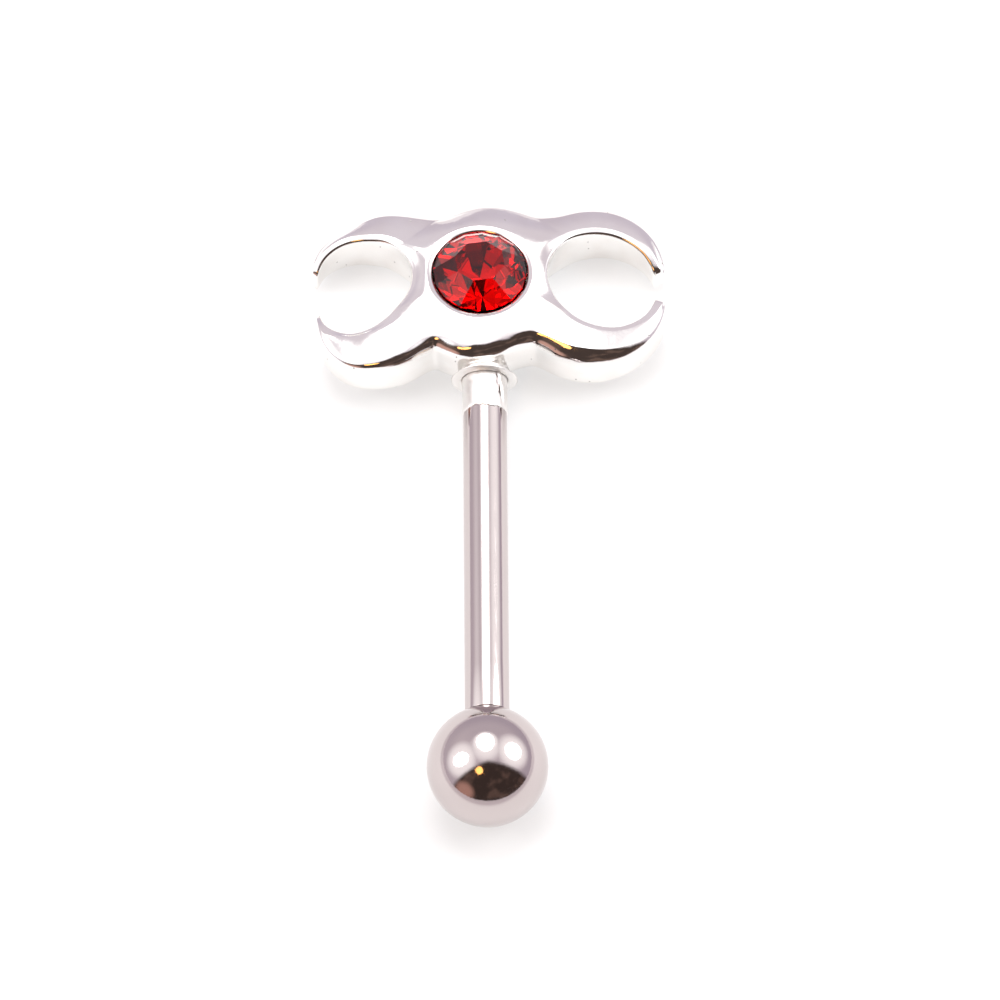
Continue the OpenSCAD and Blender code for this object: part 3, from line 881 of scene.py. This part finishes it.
def make_boss():
    """The boss: its ring, and the solder that sinks back into the disc's wall."""
    body = [(RING_DEPTH + 0.04 * i, BOSS_R) for i in range(1, 9)] + [BOSS_END]
    rings = BOSS_RING + body
    points = []
    size = 72
    for y, r in rings:
        # The radius carries on from point to point: past the swelling the ring stays a
        # little wider, and behind it the solder reaches its neck within a few points
        for k in range(size):
            a = 2 * pi * k / size
            if r > NECK_R:
                r = next_radius(r, a, y)
            points.append((r * cos(a), y, r * sin(a)))
    faces = ring_faces(len(rings), size)
    points += [(0, RING_DEPTH, 0), (0, BOSS_END[0], 0)]
    last = (len(rings) - 1) * size
    for k in range(size):
        m = (k + 1) % size
        faces.append((k, m, len(points) - 2))
        faces.append((last + k, len(points) - 1, last + m))
    boss = piece("boss_soldered", points, faces, ON_BAR, SOLDER)
    tidy(boss)
    subdivide(boss, 1)
    return boss


# The plating on the bar: its thickness, the radius of its hidden inner side, where it
# starts inside the boss and how far it reaches
FILM = 0.016
FILM_INNER = BAR_R - 0.02
FILM_START = 0.05
FILM_REACH = 1.0
# The crack in it: its angle in degrees and how that turns by the millimetre, its middle
# and half length along the bar, the height of its lip and the depth of its groove
CRACK_ANGLE, CRACK_TURN = 58, 23
CRACK_ALONG = (-0.35, 0.4)
CRACK_LIP, CRACK_DEPTH = 0.03, 0.05


def make_sleeve():
    """Plating that ran a little way down the bar, cracked on the right, with a
    ragged edge."""
    size, rows = 180, 24
    points, ends = [], []
    for k in range(size):
        a = 2 * pi * k / size
        at = Vector((cos(a), sin(a), 0))
        ragged = 0.05 * noise.noise(at * 1.4) + 0.05 * noise.noise(at * 6 + Vector((3, 1, 0)))
        ends.append(FILM_REACH + ragged + 0.06 * abs(cos(a)) ** 4)
    for i in range(rows + 1):
        for k in range(size):
            a = 2 * pi * k / size
            y = mix(FILM_START, -ends[k], i / rows)
            thick = FILM * (1 + 0.4 * noise.noise(Vector((cos(a) * 3, y * 4, sin(a) * 3))))
            crack = CRACK_ANGLE + CRACK_TURN * y + 5 * noise.noise(Vector((y * 6, 3, 1)))
            lip, groove = bump(degrees(a), crack - 9, 6), bump(degrees(a), crack, 3.2)
            thick += bump(y, *CRACK_ALONG) * (CRACK_LIP * lip - CRACK_DEPTH * groove)
            r = BAR_R + (thick if i < rows else 0.0005)
            points.append((r * cos(a), y, r * sin(a)))
    for heights in ([-end for end in ends], [FILM_START] * size):
        for k, y in enumerate(heights):
            a = 2 * pi * k / size
            points.append((FILM_INNER * cos(a), y, FILM_INNER * sin(a)))
    faces = ring_faces(rows + 3, size, closed=True)
    sleeve = piece("plated_sleeve", points, faces, ON_BAR, SLEEVE)
    tidy(sleeve)
    return sleeve


charm = make_charm()
stone = make_stone()
bar = make_bar()
ball = make_ball()
boss = make_boss()
sleeve = make_sleeve()

for obj, slot, node in (
        (charm, "silver_plate", "charm_bar"), (stone, "red_glass", "stone"),
        (bar, "steel", "charm_bar"), (boss, "silver_plate", "charm_bar"),
        (sleeve, "silver_plate", "charm_bar"), (ball, "steel", "ball")):
    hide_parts(node)
    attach(obj, BALL_BODY if obj is ball else BODY)


# Floor, light and camera

def make_floor():
    """A plain white sheet, lit from below, that dims far outside the view."""
    material, tree, shader = surface("acrylic_white_lit", Roughness=0.6,
                                     Specular_IOR_Level=0.2, Emission_Color=(1, 1, 1, 1))
    place = add(tree, "ShaderNodeTexCoord").outputs["Object"]
    at = add(tree, "ShaderNodeSeparateXYZ", [place]).outputs
    # The lit part is a square with round corners, by the sum of the fourth powers
    fourths = []
    for axis in ("X", "Y"):
        square = add(tree, "ShaderNodeMath", (at[axis], 2.0), operation="POWER")
        fourths.append(add(tree, "ShaderNodeMath", (square, 2.0), operation="POWER"))
    total = add(tree, "ShaderNodeMath", fourths, operation="ADD")
    reach = add(tree, "ShaderNodeMath", (total, 0.25), operation="POWER")
    edge = add(tree, "ShaderNodeMapRange", (reach, 15 * MM, 27 * MM),
               interpolation_type="SMOOTHSTEP")
    tone = add(tree, "ShaderNodeMix", {
        0: edge, 6: colour("#bcbcbc"), 7: colour("#b4adb2")}, data_type="RGBA")
    tree.links.new(tone.outputs[2], shader.inputs["Base Color"])
    glow = add(tree, "ShaderNodeMapRange", (edge, 0.0, 1.0, 0.5, 0.22),
               interpolation_type="SMOOTHSTEP")
    tree.links.new(glow.outputs[0], shader.inputs["Emission Strength"])
    # Half its side, in metres
    half = 1.2
    corners = [(-half, -half, 0), (half, -half, 0), (half, half, 0), (-half, half, 0)]
    mesh = bpy.data.meshes.new("floor")
    mesh.from_pydata(corners, [], [(0, 1, 2, 3)])
    mesh.materials.append(material)
    obj = bpy.data.objects.new("floor", mesh)
    bpy.context.scene.collection.objects.link(obj)


# Each light's direction from the object, width and height in degrees, strength, colour
LIGHTS = (
    ("light_left", (-0.777, -0.036, 0.628), 23, 32, 3.6, "#ffffff"),
    ("light_far", (-0.056, 0.4165, 0.907), 30, 36, 3.6, "#ffffff"),
    ("light_right", (0.738, 0.195, 0.646), 30, 32, 3.6, "#ffffff"),
    ("lamp_warm", (-0.262, -0.485, 0.834), 14, 14, 3.5, "#ffb862"))
LIGHT_DISTANCE = 0.6
# The middles of the bright patch overhead and of a warm one in the dark near side
CEILING = (-0.045, 0.255, 0.966)
WARM = (-0.637, -0.759, 0.139)


def soft_light(name, direction, wide, high, glow, tone):
    """An oval soft light, seen from the object at that many degrees of width."""
    d = Vector(direction).normalized()
    data = bpy.data.lights.new(name, "AREA")
    data.shape = "ELLIPSE"
    data.size = 2 * LIGHT_DISTANCE * tan(radians(wide / 2))
    data.size_y = 2 * LIGHT_DISTANCE * tan(radians(high / 2))
    data.color = colour(tone)[:3]
    data.energy = glow * pi * pi * data.size * data.size_y / 4
    obj = bpy.data.objects.new(name, data)
    obj.location = d * LIGHT_DISTANCE
    obj.rotation_euler = d.to_track_quat("Z", "Y").to_euler()
    bpy.context.scene.collection.objects.link(obj)


def make_room():
    """A pale room, bright round the lights and overhead, whose near side is dark."""
    world = bpy.data.worlds.new("room")
    bpy.context.scene.world = world
    world.use_nodes = True
    tree = world.node_tree
    tree.nodes.clear()
    direction = add(tree, "ShaderNodeTexCoord").outputs["Generated"]
    d = add(tree, "ShaderNodeSeparateXYZ", [direction]).outputs

    def patch(centre, inner, outer):
        """1 within the inner angle of a direction, 0 beyond the outer one."""
        dot = add(tree, "ShaderNodeVectorMath", (direction, Vector(centre).normalized()),
                  operation="DOT_PRODUCT").outputs["Value"]
        return add(tree, "ShaderNodeMapRange", (dot, cos(radians(outer)), cos(radians(inner))),
                   interpolation_type="SMOOTHSTEP")

    left, far, right = [light[1] for light in LIGHTS[:3]]
    glow = patch(CEILING, 8, 34)
    for centre, inner, outer in ((far, 19, 24), (left, 17, 36), (right, 17, 36)):
        glow = add(tree, "ShaderNodeMath", (glow, patch(centre, inner, outer)),
                   operation="MAXIMUM")
    # The wall is paler higher up and to the left
    high = add(tree, "ShaderNodeMapRange", (d["Z"], 0.1, 0.5, 0.0, 0.6),
               interpolation_type="SMOOTHSTEP")
    leftward = add(tree, "ShaderNodeMapRange", (d["X"], -0.2, -0.9, 0.0, 0.5),
                   interpolation_type="SMOOTHSTEP")
    either = add(tree, "ShaderNodeMath", (high, leftward), operation="ADD")
    paler = add(tree, "ShaderNodeMath", (either, 1.0), operation="MINIMUM")
    cloud = add(tree, "ShaderNodeTexNoise", {
        "Vector": direction, "Scale": 3.0, "Detail": 2.0})
    cloudy = add(tree, "ShaderNodeMapRange", (cloud, 0.5, 0.7), interpolation_type="SMOOTHSTEP")
    # The dark near side draws back on both sides, more so on the left
    leans = [
        add(tree, "ShaderNodeMath", (d["X"], slope), operation="MULTIPLY")
        for slope in (-0.36, 0.12)]
    lean = add(tree, "ShaderNodeMath", leans, operation="MAXIMUM")
    depth = add(tree, "ShaderNodeMath", (d["Y"], lean), operation="ADD")
    lit = add(tree, "ShaderNodeMapRange", (depth, -0.28, -0.12), interpolation_type="SMOOTHSTEP")
    # Each tone from two others: where the factor is 0, and where it is 1
    tones = {
        "wall": colour("#cdc2ce"), "high": colour("#e6dce2"), "bright": (1.45, 1.43, 1.44, 1),
        "dark": colour("#463a36"), "cloud": colour("#6a564e"), "warm": colour("#c89a8c")}
    for name, factor, low, top in (
            ("pale", paler, "wall", "high"), ("light", glow, "pale", "bright"),
            ("dim", cloudy, "dark", "cloud"), ("near", patch(WARM, 6, 21), "dim", "warm"),
            ("room", lit, "near", "light")):
        tones[name] = add(tree, "ShaderNodeMix", {
            0: factor, 6: tones[low], 7: tones[top]}, data_type="RGBA").outputs[2]
    back = add(tree, "ShaderNodeBackground", {"Color": tones["room"], "Strength": 1.0})
    add(tree, "ShaderNodeOutputWorld", {"Surface": back})


def make_camera():
    """The photo's view: from the ball's end, 66 degrees above the floor."""
    target, distance = Vector((0.259, 0.866, 0)) * MM, 200 * MM
    elevation, roll = radians(66.25), radians(-0.458)
    data = bpy.data.cameras.new("camera")
    data.sensor_width = 36
    data.lens = 264.2
    data.clip_start, data.clip_end = 0.01, 10
    obj = bpy.data.objects.new("camera", data)
    obj.location = target + distance * Vector((0, -cos(elevation), sin(elevation)))
    turned = Matrix.Rotation(pi / 2 - elevation, 3, "X") @ Matrix.Rotation(roll, 3, "Z")
    obj.rotation_euler = turned.to_euler()
    bpy.context.scene.collection.objects.link(obj)
    bpy.context.scene.camera = obj


make_floor()
make_room()
for light in LIGHTS:
    soft_light(*light)
make_camera()
bpy.context.scene.view_settings.view_transform = "Standard"

bpy.context.view_layer.update()
